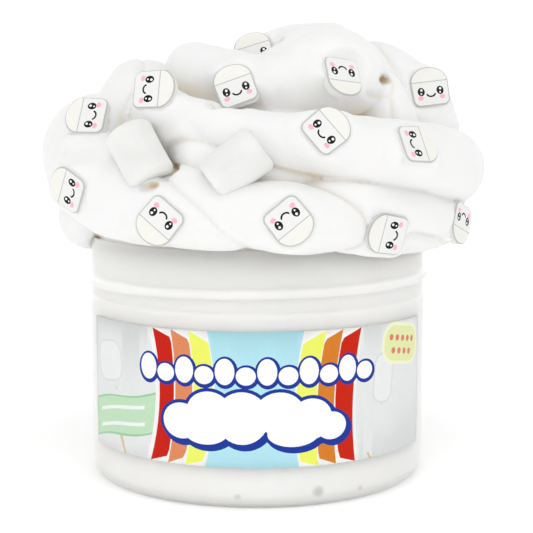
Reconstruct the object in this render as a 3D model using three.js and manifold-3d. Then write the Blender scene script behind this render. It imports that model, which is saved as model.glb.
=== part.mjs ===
// A clear round tub of white butter slime. The slime fills the tub and is heaped over its rim in thick
// folds, with flat marshmallow-shaped charms and plain short marshmallows pressed into the folds.
// Millimetres, +Z up. The origin is the centre of the tub's flat base and the label faces -Y.

import * as THREE from "three";
import { mergeVertices } from "three/addons/utils/BufferGeometryUtils.js";
import Module from "manifold-3d";

const GAP = 0.3; // clearance between pieces that touch

const TUB = {
  baseRadius: 44.0,
  bodyRadius: 44.4,
  rimHeight: 63,
  wall: 1.2,
  floor: 1.6,
  heel: 3, // radius of the rounding between base and wall
  neckHeight: 47.5, // where the body steps in to the threaded neck
  neckRadius: 44.1,
  shoulder: 0.6, // height of the slope between body and neck
  lip: 0.4, // chamfer on the rim
  fillet: 2, // inside, between wall and floor
  sides: 54,
};

const THREAD = {
  height: 50.6, // where the ridge starts
  climb: 3.8, // how far it rises in its one turn
  turns: 1.1,
  radius: 1.3, // of the ridge, whose middle runs on the neck's surface
};

const LABEL = {
  bottom: 10.8,
  top: 43.7,
  reach: 66.5, // degrees to each side of the front
  thick: 0.2,
};

const CHARM = {
  width: 9.8,
  faceHeight: 6.5,
  domeHeight: 4,
  corner: 1.8,
  taper: 0.15, // how much narrower the chin is, to each side
  thick: 2.2,
  sunk: 1.6, // how deep its back is pressed in
  clear: 6, // how far in front of it the slime is pushed aside
};

const MARSHMALLOW = {
  radius: 5.8,
  length: 14.2,
  edge: 1.7,
  sunk: 4.6, // how deep it is pressed in
};

// The body of slime under the folds: its half-width at each height, and how far the heap leans to +X.
const CORE = {
  heights: [63, 69, 78, 88, 97, 103, 106],
  radii: [43.6, 43.6, 42.5, 38.5, 27.5, 16, 0],
  lean: 0.1, // mm sideways for each mm above the rim
  sides: 40,
};

// The folds. Each one is a rope of slime that runs round the heap. Every list is spread evenly along
// the rope: `turn` is the angle round the heap in degrees (0 is the front, 90 is +X), `out` the
// distance from the axis, `height` the height above the base and `thick` the rope's radius.
const FOLDS = {
  frontLeft: {
    turn: [-150, 0],
    out: [42, 44.6, 44.8, 44.1, 46.4, 48.5, 48],
    height: [88, 88.5, 88.5, 83, 75.5, 70.5, 67],
    thick: [10, 11, 11.8, 12.4, 11, 7, 3.5],
  },
  frontCentre: {
    turn: [-30, 30],
    out: [42, 45.5, 48, 48.5, 49, 48.5],
    height: [79.5, 76.5, 72.5, 71, 69.5, 66],
    thick: [6, 6.5, 7, 8.5, 7, 3.5],
  },
  frontRight: {
    turn: [14, 100],
    out: [44, 47.5, 48, 48, 49, 49],
    height: [75.5, 74, 72, 69, 67, 66],
    thick: [4.5, 5.5, 5.5, 5.5, 6, 6],
  },
  longMiddle: {
    turn: [-50, 130],
    out: [31, 36, 41.5, 46.5, 49, 52, 50],
    height: [99, 93.5, 89, 85.6, 82, 79, 78.5],
    thick: [4.5, 6, 6.8, 8.5, 9.7, 10.1, 10],
  },
  recessed: {
    turn: [-28, 34],
    out: [40, 40.3, 39.7, 39.7, 41],
    height: [86, 84, 81, 79.5, 77.5],
    thick: [6, 6, 6, 6, 5],
  },
  upper: {
    turn: [-78, -50, -18, 14, 42, 62],
    out: [20, 20, 22.5, 24.5, 27.5, 33.5],
    height: [107, 106, 103.3, 102, 105, 99],
    thick: [6.3, 6.8, 7.2, 7.4, 11.2, 9],
  },
  top: {
    turn: [195, 139, 101, 86, 80],
    out: [17, 9, 18, 27, 31],
    height: [105.5, 109, 110.9, 105, 99],
    thick: [7.5, 8.5, 8, 7.5, 7],
  },
  crown: {
    turn: [-100, -35, 32, 58, 67],
    out: [16, 9.5, 11.5, 18, 27],
    height: [101.5, 100, 105.5, 108.5, 104.8],
    thick: [6.5, 7, 7.8, 8.5, 7],
  },
  rightShoulder: {
    turn: [140, 112, 95, 88, 86, 92],
    out: [22, 27, 32, 39, 44.5, 47],
    height: [105, 106.3, 105, 98.5, 91, 84],
    thick: [7, 8, 8.8, 9.5, 9, 8],
  },
  rightCheek: {
    turn: [75, 68, 65, 62],
    out: [24, 32, 37, 41],
    height: [107, 101, 94.5, 87],
    thick: [5, 6.7, 7, 6.5],
  },
  leftShoulder: {
    turn: [-130, -92, -72, -64, -60, -52],
    out: [24, 29.5, 33, 38.5, 43, 45],
    height: [100, 101.2, 99.8, 93, 86, 79],
    thick: [7, 8, 8, 8, 8, 7],
  },
  leftInner: {
    turn: [-52, -8],
    out: [34, 37, 38],
    height: [98, 91.5, 86.5],
    thick: [7, 7.5, 6],
  },
  leftBridge: {
    turn: [-52, -20],
    out: [37, 37, 37.5],
    height: [93, 88.5, 84.5],
    thick: [5.5, 5.5, 5],
  },
  skirtLeft: {
    turn: [-165, -70],
    out: [43.5, 44.5, 45.2, 44],
    height: [67, 66, 66.5, 70],
    thick: [8, 8.5, 8.5, 6],
  },
  skirtRight: {
    turn: [22, 150],
    out: [46, 45, 44.5, 44.5],
    height: [66, 64.5, 64.5, 66.5],
    thick: [3.5, 4.5, 5, 7],
  },
  backLow: {
    turn: [100, 250],
    out: [48, 49.5, 47, 49, 47.5, 45],
    height: [66, 67, 72.5, 74, 69, 66.5],
    thick: [7, 8, 10, 10.5, 9, 8],
  },
  backMiddle: {
    turn: [118, 238],
    out: [49.5, 46.5, 43, 44, 45],
    height: [79, 82.5, 90, 90.5, 81],
    thick: [9, 10.5, 9, 9, 9.5],
  },
  backUpper: {
    turn: [120, 250],
    out: [37, 31, 34, 30, 27],
    height: [92, 98.5, 96, 101, 98],
    thick: [8, 9.5, 8, 8.5, 8],
  },
  backTop: {
    turn: [165, 265],
    out: [14, 18, 20],
    height: [106, 104, 103.5],
    thick: [7, 7, 6.5],
  },
};
const FOLD_STEP = 7.6; // spacing of the rings along a fold
const FOLD_SIDES = 10;

// Where the charms and marshmallows are pressed in. Seen from the heap's middle, `turn` is the angle
// round the heap and `rise` the angle above the horizontal. `spin` is how far the piece's top leans
// clockwise from up. Where a piece doesn't follow the slope, `face` gives the turn and rise that it
// faces, `sunk` how deep it is pressed in and `lift` how far it is moved towards its own top.
const HEAP_MIDDLE = new THREE.Vector3(0, 0, 80);
const CHARMS = [
  { turn: -57, rise: 14, spin: -88, face: [-14, 28], sunk: -3.5 },
  { turn: -51, rise: -2.5, spin: -62, face: [-36, -9], sunk: 0 },
  { turn: -34, rise: 25, spin: 87, face: [-18, 22], sunk: -3 },
  { turn: -9.5, rise: 34.5, spin: -21, face: [-5, 20], sunk: -3.5 },
  { turn: -4, rise: 77, spin: -20, face: [-9, 28], lift: 1.5 },
  { turn: 33.5, rise: 32, spin: -173, face: [33, 30], sunk: 0 },
  { turn: 79, rise: 25.3, spin: -7, face: [2, 18], sunk: 0.6 },
  { turn: 19, rise: 12.5, spin: 52, face: [10, 18], sunk: 0.2 },
  { turn: 42.5, rise: 7, spin: 92, face: [35, 30], sunk: -0.3 },
  { turn: -23.5, rise: -10, spin: -141, face: [-14, 6], sunk: 1.2 },
  { turn: 8, rise: -9.5, spin: 141, face: [6, -2] },
  { turn: 38, rise: -15, spin: -80, face: [25, -10], sunk: -0.2 },
  { turn: 76.5, rise: -14, spin: -160, face: [55, 1] },
  { turn: 112, rise: 5, spin: -40 },
  { turn: 124, rise: 34, spin: 120 },
  { turn: 140, rise: -12, spin: 20 },
  { turn: 160, rise: 12, spin: 160 },
  { turn: 176, rise: -8, spin: -75 },
  { turn: 184, rise: 36, spin: 30 },
  { turn: 204, rise: 8, spin: -150 },
  { turn: 222, rise: -10, spin: 65 },
  { turn: 236, rise: 22, spin: -15 },
];
const MARSHMALLOWS = [
  { turn: -35, rise: 5, spin: 148, face: [-14, 14], sunk: 0 },
  { turn: -5.5, rise: 4, spin: 53, face: [-2, 4], sunk: 2.5 },
  { turn: 141, rise: 24, spin: 70 },
  { turn: 214, rise: 30, spin: 130 },
];

const wasm = await Module();
wasm.setup();

// A closed geometry as a solid that can be joined and cut.
function solidOf(geometry) {
  const bare = geometry.clone();
  bare.deleteAttribute("normal");
  bare.deleteAttribute("uv");
  const merged = mergeVertices(bare, 1e-4);
  const corners = merged.index.array;
  const kept = [];
  for (let i = 0; i < corners.length; i += 3) {
    const [a, b, c] = corners.slice(i, i + 3);
    if (a !== b && b !== c && c !== a) kept.push(a, b, c);
  }
  const mesh = new wasm.Mesh({
    numProp: 3,
    vertProperties: merged.attributes.position.array,
    triVerts: new Uint32Array(kept),
  });
  return new wasm.Manifold(mesh);
}

// A solid back as a geometry.
function geometryOf(solid) {
  const mesh = solid.getMesh();
  const geometry = new THREE.BufferGeometry();
  geometry.setAttribute("position", new THREE.BufferAttribute(mesh.vertProperties, 3));
  geometry.setIndex(new THREE.BufferAttribute(mesh.triVerts, 1));
  geometry.computeVertexNormals();
  return geometry;
}

// The solid without loose scraps or the shells of hollows that joining has sealed.
function outerBody(solid) {
  const pieces = solid.decompose();
  return pieces.reduce((best, piece) => (piece.volume() > best.volume() ? piece : best));
}

// A smooth curve through values that are spread evenly over 0 to 1.
function smooth(values) {
  const curve = new THREE.SplineCurve(values.map((value, i) => new THREE.Vector2(i, value)));
  return (share) => curve.getPoint(share).y;
}

// A point given by its angle round the axis, its distance from it and its height.
function around(turn, out, height) {
  const angle = THREE.MathUtils.degToRad(turn);
  return new THREE.Vector3(out * Math.sin(angle), -out * Math.cos(angle), height);
}

// An arc of points from one angle to another, both in degrees.
function arc(x, y, radius, from, to, steps) {
  const points = [];
  for (let i = 0; i <= steps; i++) {
    const angle = THREE.MathUtils.degToRad(from + ((to - from) * i) / steps);
    points.push(new THREE.Vector2(x + radius * Math.cos(angle), y + radius * Math.sin(angle)));
  }
  return points;
}

// A profile of (radius, height) points turned about the vertical axis.
function turned(profile, sides) {
  const points = profile.map((p) => (p.isVector2 ? p : new THREE.Vector2(...p)));
  return new THREE.LatheGeometry(points, sides).rotateX(Math.PI / 2);
}

// A rope along a path: a round rod with rounded ends, bent so that it follows the path.
// The rope's cross-section stays square to the path and faces away from `middle`.
function rope(path, thick, middle, sides, step) {
  const samples = 40;
  let length = 0;
  for (let i = 0; i < samples; i++) length += path(i / samples).distanceTo(path((i + 1) / samples));
  const rings = Math.max(4, Math.round(length / step));
  const profile = [];
  for (let i = 0; i <= rings; i++) {
    const share = i / rings;
    const fromEnd = Math.min(share, 1 - share) * length;
    const missing = Math.max(0, 1 - fromEnd / thick(share));
    profile.push(new THREE.Vector2(i % rings ? thick(share) * Math.sqrt(1 - missing ** 2) : 0, share));
  }
  const geometry = new THREE.LatheGeometry(profile, sides);
  const vertices = geometry.attributes.position;
  for (let i = 0; i < vertices.count; i++) {
    const share = vertices.getY(i);
    const centre = path(share);
    const ahead = path(Math.min(1, share + 0.01)).sub(path(Math.max(0, share - 0.01))).normalize();
    const away = centre.clone().sub(middle).normalize();
    const side = ahead.clone().cross(away).normalize();
    const up = side.clone().cross(ahead);
    centre.addScaledVector(side, vertices.getX(i)).addScaledVector(up, vertices.getZ(i));
    vertices.setXYZ(i, centre.x, centre.y, centre.z);
  }
  return geometry;
}

// The tub's wall and floor, made thicker all round by `grow`.
function tubShell(grow) {
  const inner = TUB.bodyRadius - TUB.wall - grow;
  const innerFloor = TUB.floor + grow;
  const rim = TUB.rimHeight + grow;
  const heel = TUB.heel + grow;
  return turned(
    [
      [0, -grow],
      ...arc(TUB.baseRadius - TUB.heel, TUB.heel, heel, -90, 0, 3),
      [TUB.bodyRadius + grow, TUB.neckHeight],
      [TUB.neckRadius + grow, TUB.neckHeight + TUB.shoulder],
      [TUB.neckRadius + grow, rim - TUB.lip],
      [TUB.neckRadius - TUB.lip, rim],
      [inner, rim],
      [inner, innerFloor + TUB.fillet],
      [inner - TUB.fillet, innerFloor],
      [0, innerFloor],
    ],
    TUB.sides,
  );
}

function threadRidge() {
  const path = (share) =>
    around(150 + 360 * THREAD.turns * share, TUB.neckRadius, THREAD.height + THREAD.climb * share);
  const thick = (share) => THREAD.radius * Math.min(1, 0.2 + 12 * Math.min(share, 1 - share));
  const axisPoint = new THREE.Vector3(0, 0, THREAD.height + THREAD.climb / 2);
  return rope(path, thick, axisPoint, 5, 7);
}

function tub() {
  return solidOf(tubShell(0)).add(solidOf(threadRidge()));
}

// The slime's core: it fills the tub out into the wall, and rises as a leaning dome above the rim.
function slimeCore() {
  const fill = TUB.bodyRadius - TUB.wall / 2;
  const dome = CORE.heights.map((height, i) => [CORE.radii[i], height]);
  const bottom = TUB.floor / 2;
  const profile = [[0, bottom], [fill, bottom], [fill, TUB.rimHeight - 3], ...dome];
  const geometry = turned(profile, CORE.sides);
  const vertices = geometry.attributes.position;
  for (let i = 0; i < vertices.count; i++) {
    const above = Math.max(0, vertices.getZ(i) - TUB.rimHeight);
    vertices.setX(i, vertices.getX(i) + CORE.lean * above);
  }
  return geometry;
}

function slimeHeap() {
  let heap = solidOf(slimeCore());
  for (const fold of Object.values(FOLDS)) {
    const [turn, out, height] = [smooth(fold.turn), smooth(fold.out), smooth(fold.height)];
    const path = (share) => around(turn(share), out(share), height(share));
    heap = heap.add(solidOf(rope(path, smooth(fold.thick), HEAP_MIDDLE, FOLD_SIDES, FOLD_STEP)));
  }
  return outerBody(heap.subtract(solidOf(tubShell(GAP))));
}

// A charm's outline, grown by `grow`: a rounded square face with a domed cap across its top.
function charmOutline(grow) {
  const { corner, domeHeight, taper } = CHARM;
  const half = CHARM.width / 2;
  const top = (CHARM.faceHeight + domeHeight) / 2;
  const seam = top - domeHeight;
  const dome = arc(0, 0, 1, 0, 180, 8).map(
    (p) => new THREE.Vector2(p.x * (half + grow), seam + p.y * (domeHeight + grow)),
  );
  const left = arc(corner + taper - half, corner - top, corner + grow, 180, 270, 3);
  const right = arc(half - taper - corner, corner - top, corner + grow, 270, 360, 3);
  return new THREE.Shape([...dome, ...left, ...right]);
}

// A flat charm standing on z = 0, or the room that it needs, open outwards.
function charmBlock(grow, depth) {
  const block = new THREE.ExtrudeGeometry(charmOutline(grow), { depth: depth + grow, bevelEnabled: false });
  return block.translate(0, 0, -grow);
}

// A short marshmallow lying along Y, with rounded edges.
function marshmallowBody(grow) {
  const { radius, length, edge } = MARSHMALLOW;
  const half = length / 2;
  const profile = [
    new THREE.Vector2(0, -half - grow),
    ...arc(radius - edge, edge - half, edge + grow, -90, 0, 2),
    ...arc(radius - edge, half - edge, edge + grow, 0, 90, 2),
    new THREE.Vector2(0, half + grow),
  ];
  return new THREE.LatheGeometry(profile, 18);
}

// The direction that lies `turn` round the heap and `rise` above the horizontal, in degrees.
function direction(turn, rise) {
  const lift = THREE.MathUtils.degToRad(rise);
  return around(turn, Math.cos(lift), Math.sin(lift));
}

// Looks at the heap from outside, against `outward`, and gives the surface point that lies `x` and
// `y` beside the line through the heap's middle.
function surfaceProbe(surface, outward) {
  const across = new THREE.Vector3(0, 0, 1).cross(outward).normalize();
  const upward = outward.clone().cross(across);
  const caster = new THREE.Raycaster();
  return (x, y) => {
    const start = HEAP_MIDDLE.clone().addScaledVector(outward, 2 * TUB.rimHeight);
    start.addScaledVector(across, x).addScaledVector(upward, y);
    caster.set(start, outward.clone().negate());
    return caster.intersectObject(surface)[0].point;
  };
}

// The mean slope of the surface within `reach` of where the probe points.
function slopeAt(probe, reach) {
  const centre = probe(0, 0);
  const spokes = 8;
  const spoke = (i) => {
    const angle = (2 * Math.PI * i) / spokes;
    return probe(reach * Math.cos(angle), reach * Math.sin(angle)).sub(centre);
  };
  const slope = new THREE.Vector3();
  for (let i = 0; i < spokes; i++) slope.add(spoke(i).cross(spoke(i + 1)).normalize());
  return slope.normalize();
}

// The frame of a piece on the heap: Z is the way it faces and Y its top.
function seat(surface, place, reach, sunk) {
  const probe = surfaceProbe(surface, direction(place.turn, place.rise));
  const normal = place.face ? direction(...place.face) : slopeAt(probe, reach);
  const across = new THREE.Vector3(0, 0, 1).cross(normal).normalize();
  const frame = new THREE.Matrix4().makeBasis(across, normal.clone().cross(across), normal);
  frame.multiply(new THREE.Matrix4().makeRotationZ(THREE.MathUtils.degToRad(-place.spin)));
  const top = new THREE.Vector3().setFromMatrixColumn(frame, 1);
  const centre = probe(0, 0).addScaledVector(normal, -sunk).addScaledVector(top, place.lift ?? 0);
  return frame.setPosition(centre);
}

// The label: a thin strip that follows the wall round the front.
function labelStrip() {
  const inner = TUB.bodyRadius + GAP;
  const reach = THREE.MathUtils.degToRad(LABEL.reach);
  const front = -Math.PI / 2;
  const strip = new THREE.Shape();
  strip.absarc(0, 0, inner + LABEL.thick, front - reach, front + reach, false);
  strip.absarc(0, 0, inner, front + reach, front - reach, true);
  const settings = { depth: LABEL.top - LABEL.bottom, bevelEnabled: false, curveSegments: 26 };
  return new THREE.ExtrudeGeometry(strip, settings).translate(0, 0, LABEL.bottom);
}

const plastic = new THREE.MeshStandardMaterial({ color: "#eeeeec", roughness: 0.1, metalness: 0 });
const slimeWhite = new THREE.MeshStandardMaterial({ color: "#fbfbfa", roughness: 0.55, metalness: 0 });
const paper = new THREE.MeshStandardMaterial({ color: "#b4e5f0", roughness: 0.5, metalness: 0 });
const resin = new THREE.MeshStandardMaterial({ color: "#f5f5f3", roughness: 0.35, metalness: 0 });
const sugar = new THREE.MeshStandardMaterial({ color: "#f3f3f2", roughness: 0.9, metalness: 0 });

const part = new THREE.Group();

function addMesh(name, geometry, material) {
  const mesh = new THREE.Mesh(geometry, material);
  mesh.name = name;
  part.add(mesh);
  return mesh;
}

const heap = slimeHeap();
const surface = new THREE.Mesh(geometryOf(heap), slimeWhite);
let slime = heap;

CHARMS.forEach((place, i) => {
  const frame = seat(surface, place, CHARM.width / 2.6, place.sunk ?? CHARM.sunk);
  const room = charmBlock(GAP, CHARM.thick + CHARM.clear).applyMatrix4(frame);
  slime = slime.subtract(solidOf(room));
  addMesh(`charm_${i + 1}`, charmBlock(0, CHARM.thick), resin).applyMatrix4(frame);
});

MARSHMALLOWS.forEach((place, i) => {
  const sunk = (place.sunk ?? MARSHMALLOW.sunk) - MARSHMALLOW.radius;
  const frame = seat(surface, place, MARSHMALLOW.length / 3, sunk);
  const room = marshmallowBody(GAP).applyMatrix4(frame);
  slime = slime.subtract(solidOf(room));
  addMesh(`marshmallow_${i + 1}`, marshmallowBody(0), sugar).applyMatrix4(frame);
});

addMesh("slime", geometryOf(outerBody(slime)), slimeWhite);
addMesh("tub", geometryOf(tub()), plastic);
addMesh("label", labelStrip(), paper);

export default part;
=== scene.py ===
"""The looks of a clear round tub that is heaped over its rim with folded white butter slime.

The slime is set with flat smiling marshmallow charms and plain short marshmallows, and a printed
paper label runs round the front of the tub. Sizes are in millimetres, and the places of the
camera, the lamps and the floor in metres.
"""

import math

import bmesh
import bpy
import numpy as np
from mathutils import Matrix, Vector, noise
from mathutils.bvhtree import BVHTree
from mathutils.geometry import delaunay_2d_cdt


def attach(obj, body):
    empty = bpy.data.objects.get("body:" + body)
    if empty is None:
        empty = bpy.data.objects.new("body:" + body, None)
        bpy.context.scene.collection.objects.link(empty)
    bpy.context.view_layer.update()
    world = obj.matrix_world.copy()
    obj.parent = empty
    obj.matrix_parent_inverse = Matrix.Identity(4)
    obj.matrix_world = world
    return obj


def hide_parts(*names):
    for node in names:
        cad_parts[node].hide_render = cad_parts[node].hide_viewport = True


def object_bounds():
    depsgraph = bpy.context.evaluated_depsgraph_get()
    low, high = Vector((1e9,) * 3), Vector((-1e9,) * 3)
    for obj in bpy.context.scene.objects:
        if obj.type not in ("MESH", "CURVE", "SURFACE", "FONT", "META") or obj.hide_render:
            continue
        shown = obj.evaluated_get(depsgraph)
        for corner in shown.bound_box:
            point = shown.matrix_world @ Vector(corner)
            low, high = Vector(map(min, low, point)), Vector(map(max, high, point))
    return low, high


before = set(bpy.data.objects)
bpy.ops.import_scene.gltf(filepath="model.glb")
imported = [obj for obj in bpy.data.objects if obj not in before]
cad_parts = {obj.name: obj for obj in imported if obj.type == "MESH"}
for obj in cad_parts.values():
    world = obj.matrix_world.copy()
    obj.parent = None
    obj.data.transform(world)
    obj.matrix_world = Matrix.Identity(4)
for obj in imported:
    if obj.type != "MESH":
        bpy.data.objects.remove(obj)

cad_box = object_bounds()

MM = 0.001

# ---------------------------------------------------------------------------------------- camera

# It stands in front of the tub, level with the heap's middle folds, and looks a little down.
EYE = {"place": (0.00242, -0.3556, 0.09665), "tilt": 83.16, "sensor": 36, "lens": 90.115}

eye = bpy.data.objects.new("eye", bpy.data.cameras.new("eye"))
eye.location = EYE["place"]
eye.rotation_euler = (math.radians(EYE["tilt"]), 0, 0)
eye.data.sensor_width = EYE["sensor"]
eye.data.lens = EYE["lens"]
eye.data.clip_start = 0.01
eye.data.clip_end = 20
bpy.context.scene.collection.objects.link(eye)
bpy.context.scene.camera = eye

# ---------------------------------------------------------------------- sizes, from the CAD part

TUB = {
    "base_radius": 44.0,
    "body_radius": 44.4,
    "rim": 63.0,
    "wall": 1.2,
    "floor": 1.6,
    "heel": 3.0,  # the rounding between base and wall
    "taper": 4.0,  # the height over which the wall widens above the heel
    "fillet": 2.0,  # the rounding inside, between floor and wall
    "neck": 47.5,
    "neck_radius": 44.1,
    "shoulder": 0.6,
    "lip": 0.45,  # the rounding outside the rim
}
# The thread starts at an angle round the neck and at a height, and climbs over its turns.
THREAD = {"start": 150, "height": 50.6, "climb": 3.8, "turns": 1.1, "radius": 1.3}
# The label reaches 66.5 degrees to each side of the front, and inwards to just off the wall.
LABEL = {"bottom": 10.8, "top": 43.7, "reach": 66.5, "radius": 44.9, "thick": 0.45}
CHARM = {"half": 4.9, "face": 6.5, "dome": 4.0, "corner": 1.8, "taper": 0.15, "thick": 2.2}
# A charm's face. Each oval: how far out from the middle (a glint, how far aside in its eye) and
# down from the seam, half its width and half its height. The smile: how far down, and half the
# width and the height of its arc. The pens are the widths of the drawn lines.
FACE = {
    "eye": (2.45, 2.55, 0.92, 1.12),
    "glint": (0.1, 2.13, 0.31, 0.33),
    "small_glint": (-0.05, 3.05, 0.22, 0.22),
    "cheek": (2.8, 4.25, 0.72, 0.58),
    "smile": (3.05, 1.12, 0.95),
    "pen": 0.42,
    "seam_pen": 0.24,
    # The grey line round the charm is painted shade on its rounded edge.
    "edge": 0.34,  # the grey line round the charm, which is rounded over that width
}
MARSHMALLOW = {"radius": 5.8, "length": 14.2, "edge": 1.7}
HEAP_MIDDLE = (0, 0, 80)

# The slime's core: half-width at each height, and how far the heap leans to +X.
CORE = {
    "heights": [50, 60, 66, 70, 78, 88, 97, 103, 106],
    "radii": [41.0, 41.5, 43.9, 43.9, 42.5, 38.5, 27.5, 16, 0.5],
    "lean": 0.1,
}

# The folds are ropes of slime that run round the heap: the angle round the heap in degrees (0 is
# the front, 90 is +X), the distance from the axis, the height and the rope's radius, each list
# spread evenly along the rope.
FOLDS = {
    "front_left": (
        [-150, 0],
        [42, 44.6, 44.8, 44.1, 46.4, 48.5, 48],
        [88, 88.5, 88.5, 83, 75.5, 70.5, 67],
        [10, 11, 11.8, 12.4, 11, 7, 3.5],
    ),
    "front_centre": (
        [-30, 30],
        [42, 45.5, 48, 48.5, 49, 48.5],
        [79.5, 76.5, 72.5, 71, 69.5, 66],
        [6, 6.5, 7, 8.5, 7, 3.5],
    ),
    "front_right": (
        [14, 100],
        [44, 47.5, 48, 48, 49, 49],
        [75.5, 74, 72, 69, 67, 66],
        [4.5, 5.5, 5.5, 5.5, 6, 6],
    ),
    "long_middle": (
        [-50, 130],
        [31, 36, 41.5, 46.5, 49, 52, 50],
        [99, 93.5, 89, 85.6, 82, 79, 78.5],
        [4.5, 6, 6.8, 8.5, 9.7, 10.1, 10],
    ),
    "recessed": ([-28, 34], [40, 40.3, 39.7, 39.7, 41], [86, 84, 81, 79.5, 77.5], [6, 6, 6, 6, 5]),
    "upper": (
        [-78, -50, -18, 14, 42, 62],
        [20, 20, 22.5, 24.5, 27.5, 33.5],
        [107, 106, 103.3, 102, 105, 99],
        [6.3, 6.8, 7.2, 7.4, 11.2, 9],
    ),
    "top": (
        [195, 139, 101, 86, 80],
        [17, 9, 18, 27, 31],
        [105.5, 109, 110.9, 105, 99],
        [7.5, 8.5, 8, 7.5, 7],
    ),
    "crown": (
        [-100, -35, 32, 58, 67],
        [16, 9.5, 11.5, 18, 27],
        [101.5, 100, 105.5, 108.5, 104.8],
        [6.5, 7, 7.8, 8.5, 7],
    ),
    "right_shoulder": (
        [140, 112, 95, 88, 86, 92],
        [22, 27, 32, 39, 44.5, 47],
        [105, 106.3, 105, 98.5, 91, 84],
        [7, 8, 8.8, 9.5, 9, 8],
    ),
    "right_cheek": ([75, 68, 65, 62], [24, 32, 37, 41], [107, 101, 94.5, 87], [5, 6.7, 7, 6.5]),
    "left_shoulder": (
        [-130, -92, -72, -64, -60, -52],
        [24, 29.5, 33, 38.5, 43, 45],
        [100, 101.2, 99.8, 93, 86, 79],
        [7, 8, 8, 8, 8, 7],
    ),
    "left_inner": ([-52, -8], [34, 37, 38], [98, 91.5, 86.5], [7, 7.5, 6]),
    "left_bridge": ([-52, -20], [37, 37, 37.5], [93, 88.5, 84.5], [5.5, 5.5, 5]),
    "skirt_left": ([-165, -70], [43.5, 44.5, 45.2, 44], [67, 66, 66.5, 70], [8, 8.5, 8.5, 6]),
    "skirt_right": ([22, 150], [46, 45, 44.5, 44.5], [66, 64.5, 64.5, 66.5], [3.5, 4.5, 5, 7]),
    "back_low": (
        [100, 250],
        [48, 49.5, 47, 49, 47.5, 45],
        [66, 67, 72.5, 74, 69, 66.5],
        [7, 8, 10, 10.5, 9, 8],
    ),
    "back_middle": (
        [118, 238],
        [49.5, 46.5, 43, 44, 45],
        [79, 82.5, 90, 90.5, 81],
        [9, 10.5, 9, 9, 9.5],
    ),
    "back_upper": (
        [120, 250],
        [37, 31, 34, 30, 27],
        [92, 98.5, 96, 101, 98],
        [8, 9.5, 8, 8.5, 8],
    ),
    "back_top": ([165, 265], [14, 18, 20], [106, 104, 103.5], [7, 7, 6.5]),
}

# The line where two folds meet: how deep it is sunk, and how wide it is.
CREASE_DEPTH, CREASE_WIDTH = 0.9, 1.1

# The kneaded slime's unevenness: the size and height of its swells and of its lumps.
SWELL, SWELL_HEIGHT = 13.0, 0.55
LUMP, LUMP_HEIGHT = 4.5, 0.16

# How the slime lies round a charm.
PRESS = {
    "brim": 1.6,  # how far it comes up the charm's edge
    "corner": 2.5,  # the rounding of the print that the charm leaves
    "sink": 0.8,  # how much lower it lies beneath the charm
    "inset": 1.4,  # how far in from the edge it has sunk as far as that
    "down_to": 3.4,  # how far from the charm it is pressed down
    "bank": 5.0,  # how much the pressed-down slope rises over that distance
    "up_to": 4.5,  # how far from the charm it is drawn up
    "fall": 0.9,  # how much the drawn-up slope falls over that distance
    "highest": 8.0,  # slime that is farther out than this is no part of the fold below
    "deepest": 5.0,  # nor is slime that is this deep behind the charm's back
}

# Pits where folds part: the angle that each is sunk along, how far it lies to that line's side,
# its height, half-width, half-height and depth.
PITS = [
    (10, 27.6, 103.4, 2.5, 1.5, 5.0),
    (-25.2, 0, 82.0, 2.8, 1.6, 4.5),
    (-27.2, 0, 78.3, 2.4, 1.2, 3.0),
]

# Air bubbles behind the tub's wall: the angle round the tub, the height and the width.
BUBBLES = [(-6.0, 3.3, 1.7), (7.5, 2.6, 1.2), (20.0, 4.0, 2.6), (35.6, 3.2, 1.7)]

CHARMS = sorted(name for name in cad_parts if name.startswith("charm"))
MARSHMALLOWS = sorted(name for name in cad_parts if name.startswith("marshmallow"))

# ---------------------------------------------------------------------------------- small tools


def linear(colour):
    """An sRGB hex colour as linear red, green, blue and alpha."""
    parts = [int(colour[i : i + 2], 16) / 255 for i in (1, 3, 5)]
    return (*[c / 12.92 if c <= 0.04045 else ((c + 0.055) / 1.055) ** 2.4 for c in parts], 1)


def add(tree, kind, inputs=None, **settings):
    """Adds a node with its settings. An input is given a value, or a socket to link from."""
    node = tree.nodes.new(kind)
    for name, value in settings.items():
        setattr(node, name, value)
    for name, value in (inputs or {}).items():
        if isinstance(value, bpy.types.NodeSocket):
            tree.links.new(value, node.inputs[name])
        else:
            node.inputs[name].default_value = value
    return node


def repeats(size):
    """The scale of a pattern whose marks are some millimetres across."""
    return 1 / (size * MM)


def finish_of(name):
    """A new material with an empty node tree."""
    material = bpy.data.materials.new(name)
    material.use_nodes = True
    material.node_tree.nodes.clear()
    return material, material.node_tree


def mesh_object(name, points, faces, material=None):
    """An object with a new mesh in its final place, with smooth faces."""
    mesh = bpy.data.meshes.new(name)
    mesh.from_pydata([tuple(p) for p in points], [], [tuple(f) for f in faces])
    mesh.shade_smooth()
    if material:
        mesh.materials.append(material)
    made = bpy.data.objects.new(name, mesh)
    bpy.context.scene.collection.objects.link(made)
    return made


def settle(piece):
    """Bakes an object's modifiers into a plain mesh."""
    graph = bpy.context.evaluated_depsgraph_get()
    mesh = bpy.data.meshes.new_from_object(piece.evaluated_get(graph), depsgraph=graph)
    piece.modifiers.clear()
    piece.data = mesh
    return piece


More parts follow.
